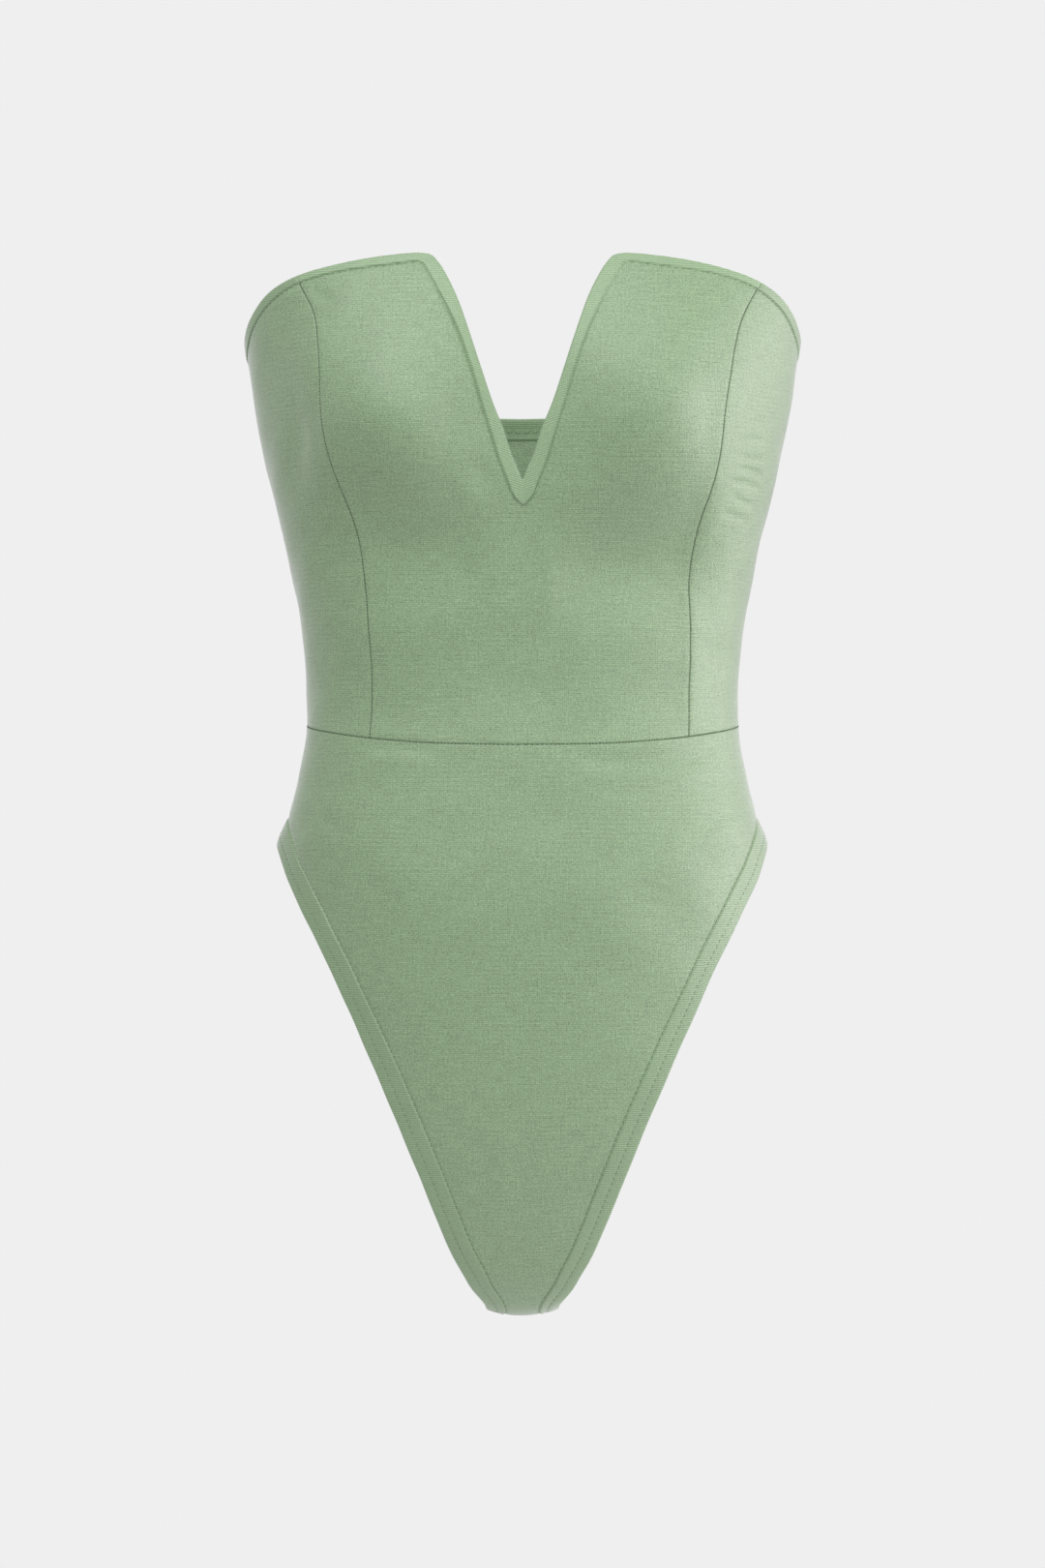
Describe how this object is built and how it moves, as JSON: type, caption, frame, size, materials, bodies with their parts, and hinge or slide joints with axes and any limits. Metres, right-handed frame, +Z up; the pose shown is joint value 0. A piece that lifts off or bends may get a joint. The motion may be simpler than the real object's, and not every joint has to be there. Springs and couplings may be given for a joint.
{
  "type": "strapless bodysuit",
  "caption": "Hollow, worn-shape strapless bodysuit with V-notched cups, princess seams, waist seam and high-cut leg openings.",
  "frame": {"origin": "middle of the ring of the top edge, at the height of its sides, where the wearer's chest holds the garment up", "axes": "+Z up the torso, -Y out of the front, +X to the wearer's left"},
  "size_m": [0.3236, 0.2203, 0.61],
  "materials": {
    "jersey": "fine sage green stretch jersey",
    "hem_jersey": "the same jersey turned over elastic, slightly darker"
  },
  "bodies": {
    "root": {"front_centre_panel": "jersey", "front_side_panel_right": "jersey", "front_side_panel_left": "jersey", "back_upper_panel": "jersey", "front_lower_panel": "jersey", "back_lower_panel": "jersey", "front_neckline_hem": "hem_jersey", "side_neckline_hem_right": "hem_jersey", "side_neckline_hem_left": "hem_jersey", "back_neckline_hem": "hem_jersey", "leg_hem_front_right": "hem_jersey", "leg_hem_front_left": "hem_jersey", "leg_hem_back_right": "hem_jersey", "leg_hem_back_left": "hem_jersey"}
  },
  "joints": []
}
